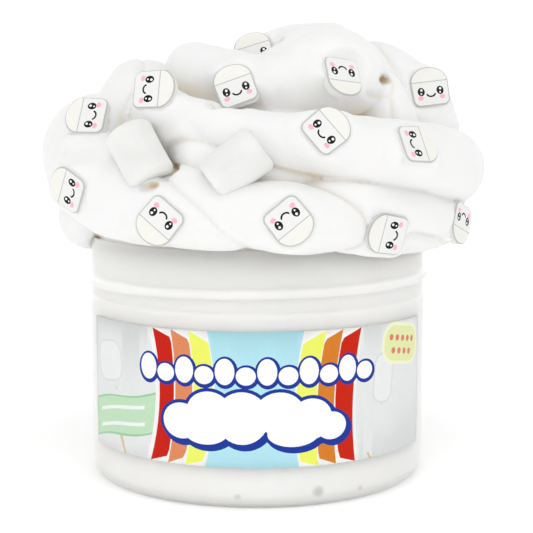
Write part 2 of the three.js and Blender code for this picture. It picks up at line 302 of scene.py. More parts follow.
def grown_by(tree, name, points, edges=(), attributes=None, objects=None):
    """The plain mesh that a Geometry Nodes tree makes of some points."""
    mesh = bpy.data.meshes.new(name)
    mesh.from_pydata([tuple(p) for p in points], list(edges), [])
    for key, values in (attributes or {}).items():
        values = np.asarray(values, np.float32)
        kind, field = ("FLOAT", "value") if values.ndim == 1 else ("FLOAT_VECTOR", "vector")
        mesh.attributes.new(key, kind, "POINT").data.foreach_set(field, values.ravel())
    made = bpy.data.objects.new(name, mesh)
    bpy.context.scene.collection.objects.link(made)
    modifier = made.modifiers.new(name, "NODES")
    modifier.node_group = tree
    for item in tree.interface.items_tree:
        if item.in_out == "INPUT" and item.name in (objects or {}):
            modifier[item.identifier] = objects[item.name]
    return settle(made)


def coordinates(mesh):
    """A mesh's points, in metres."""
    points = np.zeros(len(mesh.vertices) * 3)
    mesh.vertices.foreach_get("co", points)
    return points.reshape(-1, 3)


def around(turn, out, height):
    """A point at an angle round the tub in degrees, where 0 is the front and 90 is +X."""
    angle = math.radians(turn)
    return np.array([out * math.sin(angle), -out * math.cos(angle), height])


def spread(values, share):
    """A smooth curve through values that are spread evenly over 0 to 1."""
    at = share * (len(values) - 1)
    i = min(int(at), len(values) - 2)
    t = at - i
    p0, p1, p2, p3 = [values[min(max(i + k, 0), len(values) - 1)] for k in (-1, 0, 1, 2)]
    v0, v1 = (p2 - p0) / 2, (p3 - p1) / 2
    cubic = 2 * p1 - 2 * p2 + v0 + v1
    square = -3 * p1 + 3 * p2 - 2 * v0 - v1
    return cubic * t**3 + square * t**2 + v0 * t + p1


# -------------------------------------------------------------------------------------- finishes

# Whipped butter slime: soaked clay and glue, kneaded until it is dense, matte and opaque.
# To the eye a warm-white dough with a faint soft sheen, fine stretch lines along each fold and tiny
# popped bubbles. The creamy glow where light bounces about deep in a crease is painted into its
# colour as shade.
slime_finish, tree = finish_of("whipped butter slime")
# Painted shade: the more a point is shut in by slime round it, the darker and warmer its colour,
# from white to a deep cream in creases and pits.
sheltered = add(tree, "ShaderNodeAttribute", attribute_name="shelter")
painted_crease_shade = add(tree, "ShaderNodeValToRGB", {"Fac": sheltered.outputs["Fac"]})
painted_crease_shade.color_ramp.elements[0].position = 0.42
painted_crease_shade.color_ramp.elements[0].color = linear("#f3f3f2")
painted_crease_shade.color_ramp.elements[1].position = 1.0
painted_crease_shade.color_ramp.elements[1].color = linear("#cfa95a")
for position, colour in ((0.66, "#f4f0ea"), (0.82, "#f0e6d5"), (0.93, "#e6d0a2")):
    painted_crease_shade.color_ramp.elements.new(position).color = linear(colour)
# Painted shade: where two folds meet, a thin warm darker line is painted along the crease.
crease = add(tree, "ShaderNodeAttribute", attribute_name="crease")
line = add(
    tree,
    "ShaderNodeMapRange",
    {"Value": crease.outputs["Fac"], "From Min": 0.3, "From Max": 0.85, "To Max": 0.4},
    interpolation_type="SMOOTHSTEP",
)
painted_crease_line = add(
    tree,
    "ShaderNodeMix",
    {0: line.outputs["Result"], 6: painted_crease_shade.outputs["Color"], 7: linear("#e2d0b2")},
    data_type="RGBA",
)
place = add(tree, "ShaderNodeTexCoord")
lay = add(tree, "ShaderNodeAttribute", attribute_name="lay")
# Stretch lines are about 1 mm apart and 20 mm long.
drawn_out = add(
    tree,
    "ShaderNodeMapping",
    {"Vector": lay.outputs["Vector"], "Scale": (repeats(20), repeats(1.11), repeats(1.11))},
)
streaks = add(
    tree,
    "ShaderNodeTexNoise",
    {"Vector": drawn_out.outputs["Vector"], "Scale": 1, "Detail": 3, "Roughness": 0.6},
)
# Kneading leaves soft lumps about 6 mm across.
lumps = add(
    tree,
    "ShaderNodeTexNoise",
    {"Vector": place.outputs["Object"], "Scale": repeats(5.9), "Detail": 2},
)
# Popped bubbles are about 1 mm wide and 1.4 mm apart. Real ones are half that, and would not show.
pits = add(
    tree,
    "ShaderNodeTexVoronoi",
    {"Vector": place.outputs["Object"], "Scale": repeats(1.43), "Randomness": 1},
)
pitted = add(
    tree, "ShaderNodeMapRange", {"Value": pits.outputs["Distance"], "From Max": 0.35, "To Min": 0}
)
soft = add(
    tree, "ShaderNodeBump", {"Strength": 0.25, "Distance": 0.6 * MM, "Height": lumps.outputs["Fac"]}
)
lined = add(
    tree,
    "ShaderNodeBump",
    {
        "Strength": 0.35,
        "Distance": 0.12 * MM,
        "Height": streaks.outputs["Fac"],
        "Normal": soft.outputs["Normal"],
    },
)
pricked = add(
    tree,
    "ShaderNodeBump",
    {
        "Strength": 0.2,
        "Distance": 0.05 * MM,
        "Height": pitted.outputs["Result"],
        "Normal": lined.outputs["Normal"],
    },
)
gloss = add(
    tree,
    "ShaderNodeMapRange",
    {"Value": streaks.outputs["Fac"], "To Min": 0.42, "To Max": 0.62},
)
dough = add(
    tree,
    "ShaderNodeBsdfPrincipled",
    {
        "Base Color": painted_crease_line.outputs[2],
        "Roughness": gloss.outputs["Result"],
        "IOR": 1.45,
        "Subsurface Weight": 0.35,
        "Subsurface Radius": (2.2 * MM, 1.8 * MM, 1.3 * MM),
        "Subsurface Scale": 1,
        "Sheen Weight": 0.05,
        "Normal": pricked.outputs["Normal"],
    },
)
add(tree, "ShaderNodeOutputMaterial", {"Surface": dough.outputs["BSDF"]})

# The same slime pressed against the tub's wall: the wall has smoothed it, so it looks more even,
# with no stretch lines. Its colour is painted brighter than the heap's, as painted light that makes
# up for the light lost through the wall.
wall_slime_painted_bright_finish, tree = finish_of("butter slime wetting the wall")
place = add(tree, "ShaderNodeTexCoord")
# Where it wets the wall less well it is paler and greyer, in clouds about 15 mm across.
clouds = add(
    tree,
    "ShaderNodeTexNoise",
    {"Vector": place.outputs["Object"], "Scale": repeats(15.4), "Detail": 2},
)
wet = add(tree, "ShaderNodeValToRGB", {"Fac": clouds.outputs["Fac"]})
wet.color_ramp.elements[0].position = 0.35
wet.color_ramp.elements[0].color = linear("#fefdfa")
wet.color_ramp.elements[1].position = 0.65
wet.color_ramp.elements[1].color = linear("#fffffd")
# A few small bubbles of air are caught above the tub's floor; they are painted as grey spots of
# shade.
shade = 1.0
for turn, height, wide in BUBBLES:
    middle = [c * MM for c in around(turn, TUB["body_radius"], height)]
    away = add(
        tree,
        "ShaderNodeVectorMath",
        {0: place.outputs["Object"], 1: middle},
        operation="DISTANCE",
    )
    spot = add(
        tree,
        "ShaderNodeMapRange",
        {
            "Value": away.outputs["Value"],
            "From Min": 0.4 * wide * MM,
            "From Max": 0.8 * wide * MM,
            "To Min": 0.72,
        },
    )
    shade = add(
        tree, "ShaderNodeMath", {0: shade, 1: spot.outputs["Result"]}, operation="MULTIPLY"
    ).outputs[0]
spotted = add(
    tree,
    "ShaderNodeMix",
    {0: 1.0, 6: wet.outputs["Color"], 7: shade},
    data_type="RGBA",
    blend_type="MULTIPLY",
)
pressed_flat = add(
    tree,
    "ShaderNodeBsdfPrincipled",
    {"Base Color": spotted.outputs[2], "Roughness": 0.5, "IOR": 1.45, "Specular IOR Level": 0.2},
)
add(tree, "ShaderNodeOutputMaterial", {"Surface": pressed_flat.outputs["BSDF"]})

# Clear PET, blow moulded: hard, bright and glossy, with the faint waviness that a blown wall has,
# in waves about 17 mm across.
pet_finish, tree = finish_of("clear blow moulded PET")
place = add(tree, "ShaderNodeTexCoord")
waves = add(
    tree,
    "ShaderNodeTexNoise",
    {"Vector": place.outputs["Object"], "Scale": repeats(16.7), "Detail": 1},
)
wavy = add(
    tree, "ShaderNodeBump", {"Strength": 0.15, "Distance": 0.4 * MM, "Height": waves.outputs["Fac"]}
)
pet = add(
    tree,
    "ShaderNodeBsdfPrincipled",
    {
        "Base Color": linear("#ffffff"),
        "Roughness": 0.04,
        "IOR": 1.57,
        "Transmission Weight": 1,
        "Normal": wavy.outputs["Normal"],
    },
)
# Lamps light the slime straight through the wall.
lamp_path = add(tree, "ShaderNodeLightPath")
open_wall = add(tree, "ShaderNodeBsdfTransparent", {"Color": (1, 1, 1, 1)})
wall = add(
    tree,
    "ShaderNodeMixShader",
    {0: lamp_path.outputs["Is Shadow Ray"], 1: pet.outputs["BSDF"], 2: open_wall.outputs["BSDF"]},
)
add(tree, "ShaderNodeOutputMaterial", {"Surface": wall.outputs["Shader"]})

# Gloss-laminated printed paper: flat bright inks under a thin smooth film, with the least
# unevenness of ink and the soft orange-peel of the laminate.
paper_finish, tree = finish_of("printed laminated paper")
ink = add(tree, "ShaderNodeAttribute", attribute_name="ink")
place = add(tree, "ShaderNodeTexCoord")
# Ink varies over about 1.5 mm, by less than a fiftieth.
uneven = add(
    tree,
    "ShaderNodeTexNoise",
    {"Vector": place.outputs["Object"], "Scale": repeats(1.54), "Detail": 3},
)
share = add(
    tree, "ShaderNodeMapRange", {"Value": uneven.outputs["Fac"], "To Min": 0.965, "To Max": 1.02}
)
printed = add(
    tree,
    "ShaderNodeMix",
    {0: 1.0, 6: ink.outputs["Color"], 7: share.outputs["Result"]},
    data_type="RGBA",
    blend_type="MULTIPLY",
)
peel = add(
    tree,
    "ShaderNodeBump",
    {"Strength": 0.1, "Distance": 0.05 * MM, "Height": uneven.outputs["Fac"]},
)
paper = add(
    tree,
    "ShaderNodeBsdfPrincipled",
    {
        "Base Color": printed.outputs[2],
        "Roughness": 0.4,
        "IOR": 1.5,
        "Specular IOR Level": 0.12,
        "Normal": peel.outputs["Normal"],
    },
)
add(tree, "ShaderNodeOutputMaterial", {"Surface": paper.outputs["BSDF"]})

# Cast polyester resin with a pad-printed face: smooth, slightly pearly and satin, with crisp inks.
resin_finish, tree = finish_of("cast resin with pad print")
ink = add(tree, "ShaderNodeAttribute", attribute_name="ink")
place = add(tree, "ShaderNodeTexCoord")
# The mould leaves a ripple about 2 mm across.
ripple = add(
    tree,
    "ShaderNodeTexNoise",
    {"Vector": place.outputs["Object"], "Scale": repeats(2), "Detail": 2},
)
share = add(
    tree, "ShaderNodeMapRange", {"Value": ripple.outputs["Fac"], "To Min": 0.97, "To Max": 1.02}
)
cast = add(
    tree,
    "ShaderNodeMix",
    {0: 1.0, 6: ink.outputs["Color"], 7: share.outputs["Result"]},
    data_type="RGBA",
    blend_type="MULTIPLY",
)
rippled = add(
    tree,
    "ShaderNodeBump",
    {"Strength": 0.12, "Distance": 0.1 * MM, "Height": ripple.outputs["Fac"]},
)
resin = add(
    tree,
    "ShaderNodeBsdfPrincipled",
    {
        "Base Color": cast.outputs[2],
        "Roughness": 0.3,
        "IOR": 1.52,
        "Specular IOR Level": 0.16,
        "Subsurface Weight": 0.1,
        "Subsurface Radius": (0.8 * MM, 0.7 * MM, 0.6 * MM),
        "Subsurface Scale": 1,
        "Normal": rippled.outputs["Normal"],
    },
)
add(tree, "ShaderNodeOutputMaterial", {"Surface": resin.outputs["BSDF"]})

# Moulded soft foam with a powdery skin, as on a dusted marshmallow: quite matte, with a fine grain
# and slightly greyer patches where powder has rubbed off.
foam_finish, tree = finish_of("powdery moulded foam")
place = add(tree, "ShaderNodeTexCoord")
# The powder's grain is 0.4 mm, and rubbed patches are about 8 mm across.
grain = add(
    tree,
    "ShaderNodeTexNoise",
    {"Vector": place.outputs["Object"], "Scale": repeats(0.4), "Detail": 2},
)
rubbed = add(
    tree,
    "ShaderNodeTexNoise",
    {"Vector": place.outputs["Object"], "Scale": repeats(8.3), "Detail": 2},
)
powder = add(tree, "ShaderNodeValToRGB", {"Fac": rubbed.outputs["Fac"]})
powder.color_ramp.elements[0].position = 0.3
powder.color_ramp.elements[0].color = linear("#e8e8e6")
powder.color_ramp.elements[1].position = 0.65
powder.color_ramp.elements[1].color = linear("#f0f0ee")
grainy = add(
    tree,
    "ShaderNodeBump",
    {"Strength": 0.35, "Distance": 0.08 * MM, "Height": grain.outputs["Fac"]},
)
foam = add(
    tree,
    "ShaderNodeBsdfPrincipled",
    {
        "Base Color": powder.outputs["Color"],
        "Roughness": 0.9,
        "IOR": 1.4,
        "Subsurface Weight": 0.2,
        "Subsurface Radius": (1.5 * MM, 1.3 * MM, 1.0 * MM),
        "Subsurface Scale": 1,
        "Sheen Weight": 0.1,
        "Normal": grainy.outputs["Normal"],
    },
)
add(tree, "ShaderNodeOutputMaterial", {"Surface": foam.outputs["BSDF"]})

# --------------------------------------------------------------------------------- printed shapes


def oval(x, y, half_x, half_y, lean=0, sides=24):
    """The outline of an oval, leaning clockwise by some degrees."""
    c, s = math.cos(math.radians(lean)), math.sin(math.radians(lean))
    ring = [2 * math.pi * i / sides for i in range(sides)]
    local = [(half_x * math.cos(a), half_y * math.sin(a)) for a in ring]
    return [(x + u * c + v * s, y - u * s + v * c) for u, v in local]


def ribbon(line, width, round_ends=True):
    """The outline of a line drawn with a round pen."""
    line = np.array(line, float)
    ahead = np.gradient(line, axis=0)
    ahead /= np.linalg.norm(ahead, axis=1)[:, None]
    side = np.stack([-ahead[:, 1], ahead[:, 0]], 1) * width / 2
    there, back = list(line + side), list((line - side)[::-1])
    if round_ends:
        for end, edge, outline in ((line[-1], side[-1], there), (line[0], -side[0], back)):
            turned = [math.radians(a) for a in (-45, -90, -135)]
            for a in turned:
                c, s = math.cos(a), math.sin(a)
                outline.append(end + (edge[0] * c - edge[1] * s, edge[0] * s + edge[1] * c))
    return [tuple(p) for p in there + back]


def inked(shapes, extra_lines=()):
    """Cuts the first shape into triangles that follow the edges of all shapes, the last on top.

    Gives the points, the triangles and, for each triangle, the number of the shape it shows."""
    points, faces, edges = [], [], []
    for outline in shapes:
        turning = zip(outline, outline[1:] + outline[:1])
        if sum(x0 * y1 - x1 * y0 for (x0, y0), (x1, y1) in turning) < 0:
            outline = outline[::-1]
        faces.append(list(range(len(points), len(points) + len(outline))))
        points += outline
    for line in extra_lines:
        edges += [(len(points) + i, len(points) + i + 1) for i in range(len(line) - 1)]
        points += line
    flat = [Vector(p) for p in points]
    cut = delaunay_2d_cdt(flat, edges, faces, 0, 1e-5)
    kept = [(f, max(owners)) for f, owners in zip(cut[2], cut[5]) if 0 in owners]
    return np.array([tuple(p) for p in cut[0]]), [f for f, _ in kept], [s for _, s in kept]


def paint(mesh, colours, default):
    """Gives each face its ink. Faces beyond the list get the default."""
    layer = mesh.color_attributes.new("ink", "FLOAT_COLOR", "CORNER")
    for face in mesh.polygons:
        colour = linear(colours[face.index] if face.index < len(colours) else default)
        for corner in face.loop_indices:
            layer.data[corner].color = colour


# ----------------------------------------------------------------------------------------- label

REACH = LABEL["radius"] * math.radians(LABEL["reach"])
BOTTOM, TOP = LABEL["bottom"], LABEL["top"]


def bowed(top, middle, bottom, steps=10):
    """A side of a printed field that bows inwards: its place at the top, middle and bottom."""
    line = []
    for i in range(steps + 1):
        t = i / steps
        x = (1 - t) * (1 - 2 * t) * top + 4 * t * (1 - t) * middle + t * (2 * t - 1) * bottom
        line.append((x, TOP + (BOTTOM - TOP) * t))
    return line


def field(left, right):
    """A printed field between two bowed sides."""
    return bowed(*left) + bowed(*right)[::-1]


def field_cut(left, right, drop, rise):
    """A bowed field whose top and bottom edges slope: `drop` and `rise` at its inner side."""
    outline = []
    for side, (low, high) in ((left, (0, 0)), (right, (drop, rise))):
        line = bowed(*side)
        line[0] = (line[0][0], TOP - low)
        line[-1] = (line[-1][0], BOTTOM + high)
        outline.append(line)
    return outline[0] + outline[1][::-1]


def tablet(left, right, low, high, corner, lean=0):
    """The outline of a rounded rectangle, leaning clockwise about its middle by some degrees."""
    x, y = (left + right) / 2, (low + high) / 2
    c, s = math.cos(math.radians(lean)), math.sin(math.radians(lean))
    outline = []
    for i in range(24):
        a = math.radians(15 * (i + 0.5))
        u = math.copysign((right - left) / 2 - corner, math.cos(a)) + corner * math.cos(a)
        v = math.copysign((high - low) / 2 - corner, math.sin(a)) + corner * math.sin(a)
        outline.append((x + u * c + v * s, y - u * s + v * c))
    return outline


def wavy_sign(left, right, low, high, slope, wave):
    """The outline of a sign whose top and bottom edges wave and slope upwards to the right."""
    across = np.linspace(left, right, 15)
    sway = slope * (across - left) + wave * np.sin((across - left) / 4.1)
    return list(zip(across, low + sway)) + list(zip(across[::-1], (high + sway)[::-1]))


# Each printed shape's ink and outline, from the lowest up: across from the label's middle, and up
# from the tub's base. A bowed side is given by its place at the top, the middle and the bottom.
print_shapes = [
    ("#e7e9e9", [(-REACH, BOTTOM), (REACH, BOTTOM), (REACH, TOP), (-REACH, TOP)]),
    ("#dde1e2", tablet(-49.4, -37.7, 28.1, 38.7, 3.4, -7)),
    ("#edefef", tablet(-48.9, -38.2, 28.6, 38.2, 3.1, -7)),
    ("#dde1e2", tablet(31.0, 38.2, 24.0, 36.6, 3.0, 5)),
    ("#edefef", tablet(31.5, 37.7, 24.5, 36.1, 2.7, 5)),
    ("#d9dee0", oval(-40.2, 26.9, 0.55, 0.55)),
    ("#d9dee0", oval(34.0, 24.0, 0.5, 0.5)),
    ("#d8c49a", [(-39.1, 15.4), (-37.9, 15.4), (-36.3, BOTTOM), (-37.1, BOTTOM)]),
    ("#d8c49a", [(28.8, 12.2), (29.5, 12.4), (30.6, BOTTOM), (29.8, BOTTOM)]),
    ("#9ccf9f", wavy_sign(-51.4, -25.2, 12.5, 22.7, 0.2, 0.5)),
    ("#c3e2c1", wavy_sign(-50.9, -25.7, 13.1, 22.3, 0.2, 0.5)),
    ("#eef7ee", wavy_sign(-48.6, -29.5, 19.6, 20.5, 0.2, 0.35)),
    ("#eef7ee", wavy_sign(-48.6, -29.5, 15.4, 16.3, 0.2, 0.35)),
    ("#f4f6cf", tablet(34.0, 50.9, 32.6, 43.1, 4.6, 9)),
    ("#e6edb0", tablet(34.8, 50.1, 33.4, 42.3, 4.0, 9)),
    *[("#e0806c", oval(37.6 + 2.5 * i, 40.0 - 0.4 * i, 0.8, 0.8)) for i in range(5)],
    *[("#e0806c", oval(38.4 + 2.5 * i, 36.6 - 0.4 * i, 0.8, 0.8)) for i in range(4)],
    ("#f4f4f2", field((-28.2, -25.9, -28.9), (27.7, 25.4, 26.4))),
    ("#c91a05", field_cut((-26.7, -24.7, -27.6), (-21.7, -20.6, -22.7), 1.9, 1.6)),
    ("#e08a5c", field_cut((-21.4, -20.2, -22.4), (-16.9, -15.7, -18.2), 2.1, 1.7)),
    ("#eff568", field_cut((-16.6, -15.3, -17.7), (-11.9, -10.6, -13.2), 2.5, 1.3)),
    ("#b4e5f0", field((-11.9, -10.0, -12.5), (11.5, 9.2, 10.3))),
    ("#eff568", field_cut((17.2, 14.6, 15.2), (11.9, 9.6, 10.7), 2.6, 1.3)),
    ("#d97f28", field_cut((21.7, 19.3, 19.9), (17.3, 14.9, 15.5), 2.1, 1.7)),
    ("#cb2003", field_cut((27.0, 24.6, 25.3), (22.0, 19.6, 21.0), 2.1, 1.3)),
]

# A garland of white beads over a white cloud, both edged in dark blue. Each oval: its middle, half
# its width and half its height.
GARLAND = [(-28.0 + 5.1 * i, 33.6 + 0.5 * (-1) ** i, 2.4, 2.7 + 0.5 * (-1) ** i) for i in range(12)]
CLOUD = [
    (-18.6, 21.6, 5.0, 4.4),
    (-11.6, 24.2, 5.6, 5.0),
    (-3.4, 22.9, 6.4, 6.4),
    (5.6, 24.0, 6.0, 5.2),
    (13.4, 22.4, 5.4, 5.0),
    (18.6, 20.4, 4.0, 3.4),
    (-12.4, 19.4, 5.6, 3.2),
    (9.0, 19.0, 6.4, 3.2),
]
for x, y, half_x, half_y in GARLAND:
    print_shapes.append(("#1a389c", oval(x + 0.15, y - 0.2, half_x + 0.75, half_y + 0.75)))
for x, y, half_x, half_y in GARLAND:
    print_shapes.append(("#fdfdfd", oval(x, y, half_x, half_y)))
for edge, shift, colour in ((0.9, 0.7, "#1a389c"), (0.85, 0.0, "#1a389c"), (0.0, 0.0, "#fdfdfd")):
    for x, y, half_x, half_y in CLOUD:
        outline = oval(x + shift, y - shift, half_x + edge, half_y + edge, 0, 36)
        print_shapes.append((colour, outline))

# The flat print is cut into strips, so that it can bend round the tub.
STRIP = 1.5
label_points, label_faces, label_shows = inked(
    [outline for _, outline in print_shapes],
    [[(x, BOTTOM), (x, TOP)] for x in np.arange(-REACH + STRIP, REACH, STRIP)],
)
angles = label_points[:, 0] / LABEL["radius"]
wrapped = np.stack(
    [
        LABEL["radius"] * np.sin(angles),
        -LABEL["radius"] * np.cos(angles),
        label_points[:, 1],
    ],
    1,
)
label = mesh_object("label_print", wrapped * MM, label_faces, paper_finish)
paint(label.data, [print_shapes[i][0] for i in label_shows], "#f4f4f2")
thicken = label.modifiers.new("paper", "SOLIDIFY")
thicken.thickness = LABEL["thick"] * MM
thicken.offset = -1
settle(label)

# ------------------------------------------------------------------------------------------- tub


def turned(rings, sides, swell=None):
    """Rings of (radius, height) turned about Z, from a point on the axis to another."""
    points, faces, rows = [], [], []
    for radius, height in rings:
        if radius == 0:
            rows.append([len(points)] * sides)
            points.append((0, 0, height))
            continue
        rows.append(list(range(len(points), len(points) + sides)))
        for i in range(sides):
            turn = 360 * i / sides
            more = swell(turn, radius, height) if swell else 0
            points.append(around(turn, radius + more, height))
    for low, high in zip(rows, rows[1:]):
        for i in range(sides):
            j = (i + 1) % sides
            face = [low[i], low[j], high[j], high[i]]
            faces.append([v for k, v in enumerate(face) if v not in face[:k]])
    return points, faces


def tub_wall():
    """The tub as rings of (radius, height), from the middle underneath to the middle inside."""
    body, neck, top, floor = TUB["body_radius"], TUB["neck_radius"], TUB["rim"], TUB["floor"]
    heel, lip, fillet = TUB["heel"], TUB["lip"], TUB["fillet"]
    inner = body - TUB["wall"]
    # The middle is raised a little inside the ring that the tub stands on.
    rings = [(0.0, 0.35), (20.0, 0.35), (36.0, 0.3), (38.5, 0.0)]
    for i in range(1, 10):
        a = math.radians(-90 + 10 * i)
        rings.append((TUB["base_radius"] - heel + heel * math.cos(a), heel + heel * math.sin(a)))
    for i in range(1, 7):
        narrower = (body - TUB["base_radius"]) * (1 - i / 6)
        rings.append((body - narrower, heel + TUB["taper"] * i / 6))
    rings += [(body, z) for z in (12, 20, 30, 40, 46)]
    for i in range(7):
        s = i / 6
        narrower = (body - neck) * s * s * (3 - 2 * s)
        rings.append((body - narrower, TUB["neck"] + TUB["shoulder"] * s))
    # The threaded stretch has a ring every 0.4 mm, to carry the thread's shape.
    rings += [(neck, z) for z in np.arange(48.6, 58.6, 0.4)]
    rings += [(neck, z) for z in (60, 61.5, top - 0.5)]
    for i in range(1, 6):
        a = math.radians(18 * i)
        rings.append((neck - lip + lip * math.cos(a), top - lip + lip * math.sin(a)))
    rings += [(inner + 0.2, top), (inner, top - 0.2), (inner, 40), (inner, 20)]
    for i in range(6):
        a = math.radians(18 * i)
        rings.append((inner - fillet + fillet * math.cos(a), floor + fillet - fillet * math.sin(a)))
    rings += [(20, floor), (0.0, floor)]
    return rings


def thread_swell(turn, radius, height):
    """How far the screw thread stands out of the neck, by the angle round it and the height."""
    if radius < TUB["neck_radius"] - 0.1 or not 48.2 < height < 59:
        return 0.0
    rise = 0.0
    for lap in (0, 1, 2):
        share = (turn - THREAD["start"] + 360 * lap) / (360 * THREAD["turns"])
        if 0 <= share <= 1:
            ridge = THREAD["height"] + THREAD["climb"] * share
            # The thread runs out to nothing over a twelfth of its length at each end.
            thick = THREAD["radius"] * min(1, 0.05 + 12 * min(share, 1 - share))
            away = abs(height - ridge) / thick
            if away < 1:
                rise = max(rise, thick * math.sqrt(1 - away**2))
    return rise


points, faces = turned(tub_wall(), 240, thread_swell)
tub = mesh_object("tub_shell", np.array(points) * MM, faces, pet_finish)


# ----------------------------------------------------------------------------------------- slime

ROPE_STEP = 1.5  # mm between the points along a rope
THINNEST = 0.02  # mm, a rope's radius at its very ends


def rope_points(turns, outs, heights, thicks):
    """The points along one rope, its radius at each and how far along each lies.

    The rope is rounded off at both ends, where its points lie closer together."""
    fine = np.linspace(0, 1, 400)
    path = np.array([around(spread(turns, t), spread(outs, t), spread(heights, t)) for t in fine])
    along = np.r_[0, np.cumsum(np.linalg.norm(np.diff(path, axis=0), axis=1))]
    length = along[-1]
    marks = list(np.arange(0, length, ROPE_STEP)) + [length]
    closer = (0.01, 0.04, 0.09, 0.16, 0.25, 0.4)
    marks += [thicks[0] * s for s in closer]
    if thicks[-1] != thicks[0]:  # an end as thick as the start lies hidden in the heap
        marks += [length - thicks[-1] * s for s in closer]
    marks = np.unique(np.clip(marks, 0, length))
    points = np.stack([np.interp(marks, along, path[:, k]) for k in range(3)], 1)
    radii = []
    for mark in marks:
        thick = spread(thicks, np.interp(mark, along, fine))
        missing = max(0.0, 1 - min(mark, length - mark) / thick)
        radii.append(max(THINNEST, thick * math.sqrt(1 - missing**2)))
    return points, np.array(radii), marks


ropes = [rope_points(*fold) for fold in FOLDS.values()]
core_shares = np.linspace(0, 1, 60)
core_z = np.array([spread(CORE["heights"], t) for t in core_shares])
core_r = np.array([max(THINNEST, spread(CORE["radii"], t)) for t in core_shares])
core_line = np.stack([CORE["lean"] * np.maximum(0, core_z - TUB["rim"]), 0 * core_z, core_z], 1)
ropes.append((core_line, core_r, core_z - core_z[0]))

rope_tree = bpy.data.node_groups.new("ropes of slime", "GeometryNodeTree")
rope_tree.interface.new_socket("Paths", in_out="INPUT", socket_type="NodeSocketGeometry")
sides_in = rope_tree.interface.new_socket("Sides", in_out="INPUT", socket_type="NodeSocketInt")
sides_in.default_value = 28
rope_tree.interface.new_socket("Slime", in_out="OUTPUT", socket_type="NodeSocketGeometry")
given = add(rope_tree, "NodeGroupInput")
paths = add(rope_tree, "GeometryNodeMeshToCurve", {"Mesh": given.outputs["Paths"]})
thick = add(rope_tree, "GeometryNodeInputNamedAttribute", {"Name": "thick"}, data_type="FLOAT")
round_section = add(
    rope_tree,
    "GeometryNodeCurvePrimitiveCircle",
    {"Resolution": given.outputs["Sides"], "Radius": 1},
)
swept = add(
    rope_tree,
    "GeometryNodeCurveToMesh",
    {
        "Curve": paths.outputs["Curve"],
        "Profile Curve": round_section.outputs["Curve"],
        "Scale": thick.outputs["Attribute"],
        "Fill Caps": True,
    },
)
real = add(rope_tree, "GeometryNodeRealizeInstances", {"Geometry": swept.outputs["Mesh"]})
dressed = add(
    rope_tree,
    "GeometryNodeSetMaterial",
    {"Geometry": real.outputs["Geometry"], "Material": slime_finish},
)
add(rope_tree, "NodeGroupOutput", {"Slime": dressed.outputs["Geometry"]})

rope_at, rope_edges, rope_thick = [], [], []
for points, radii, _ in ropes:
    start = len(rope_thick)
    rope_edges += [(start + i, start + i + 1) for i in range(len(points) - 1)]
    rope_at += list(points * MM)
    rope_thick += list(radii * MM)
slime = grown_by(
    rope_tree, "slime_folds", rope_at, edges=rope_edges, attributes={"thick": rope_thick}
)

# The ropes are kneaded into one body, with creases left between them.
knead = slime.modifiers.new("one body", "REMESH")
knead.mode = "VOXEL"
knead.voxel_size = 0.65 * MM
knead.use_smooth_shade = True
relax = slime.modifiers.new("relax", "SMOOTH")
relax.factor = 0.5
relax.iterations = 4
settle(slime)

ride_list = [
    (slime, ["slime"], "slime"),
    (tub, ["tub"], "tub"),
    (label, ["label"], "label"),
]

# -------------------------------------------------------------------------- charms, marshmallows


SAME_WAY = 0.9995  # the cosine between two flats that count as one


def node_corners(name):
    """The merged corners of a CAD node's mesh in millimetres, and its triangles."""
    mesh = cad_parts[name].data
    points = coordinates(mesh) / MM
    triangles = np.array([tuple(p.vertices) for p in mesh.polygons])
    return points, triangles


def charm_seat(name):
    """Where a charm lies: the middle of its back, the way it faces and the way its dome points.

    Its two largest flats are its front and back, and the third is the straight edge at its foot."""
    points, triangles = node_corners(name)
    a, b, c = (points[triangles[:, k]] for k in range(3))
    cross = np.cross(b - a, c - a)
    area = np.linalg.norm(cross, axis=1) / 2
    normals = cross / (2 * area[:, None] + 1e-12)
    groups = []
    for normal, size in zip(normals, area):
        for group in groups:
            if normal @ group[0] > SAME_WAY:
                group[1] += size
                break
        else:
            groups.append([normal, size])
    groups.sort(key=lambda g: -g[1])
    middle = (points.min(0) + points.max(0)) / 2
    facing = groups[0][0]
    if facing @ (middle - HEAP_MIDDLE) < 0:
        facing = -facing
    top = -groups[2][0]
    top = top - facing * (top @ facing)
    top /= np.linalg.norm(top)
    side = np.cross(top, facing)
    spans = [points @ axis for axis in (side, top, facing)]
    seat = (
        side * (spans[0].min() + spans[0].max()) / 2
        + top * (spans[1].min() + spans[1].max()) / 2
        + facing * spans[2].min()
    )
    return seat, facing, top


def marshmallow_seat(name):
    """Where a marshmallow lies: its middle, a direction square to its length and its length's."""
    points, _ = node_corners(name)
    middle = points.mean(0)
    _, axes = np.linalg.eigh(np.cov((points - middle).T))
    axis = axes[:, 2]
    outward = middle - HEAP_MIDDLE
    outward = outward - axis * (outward @ axis)
    spread_along = points @ axis
    middle = middle + axis * ((spread_along.min() + spread_along.max()) / 2 - middle @ axis)
    return middle, outward / np.linalg.norm(outward), axis


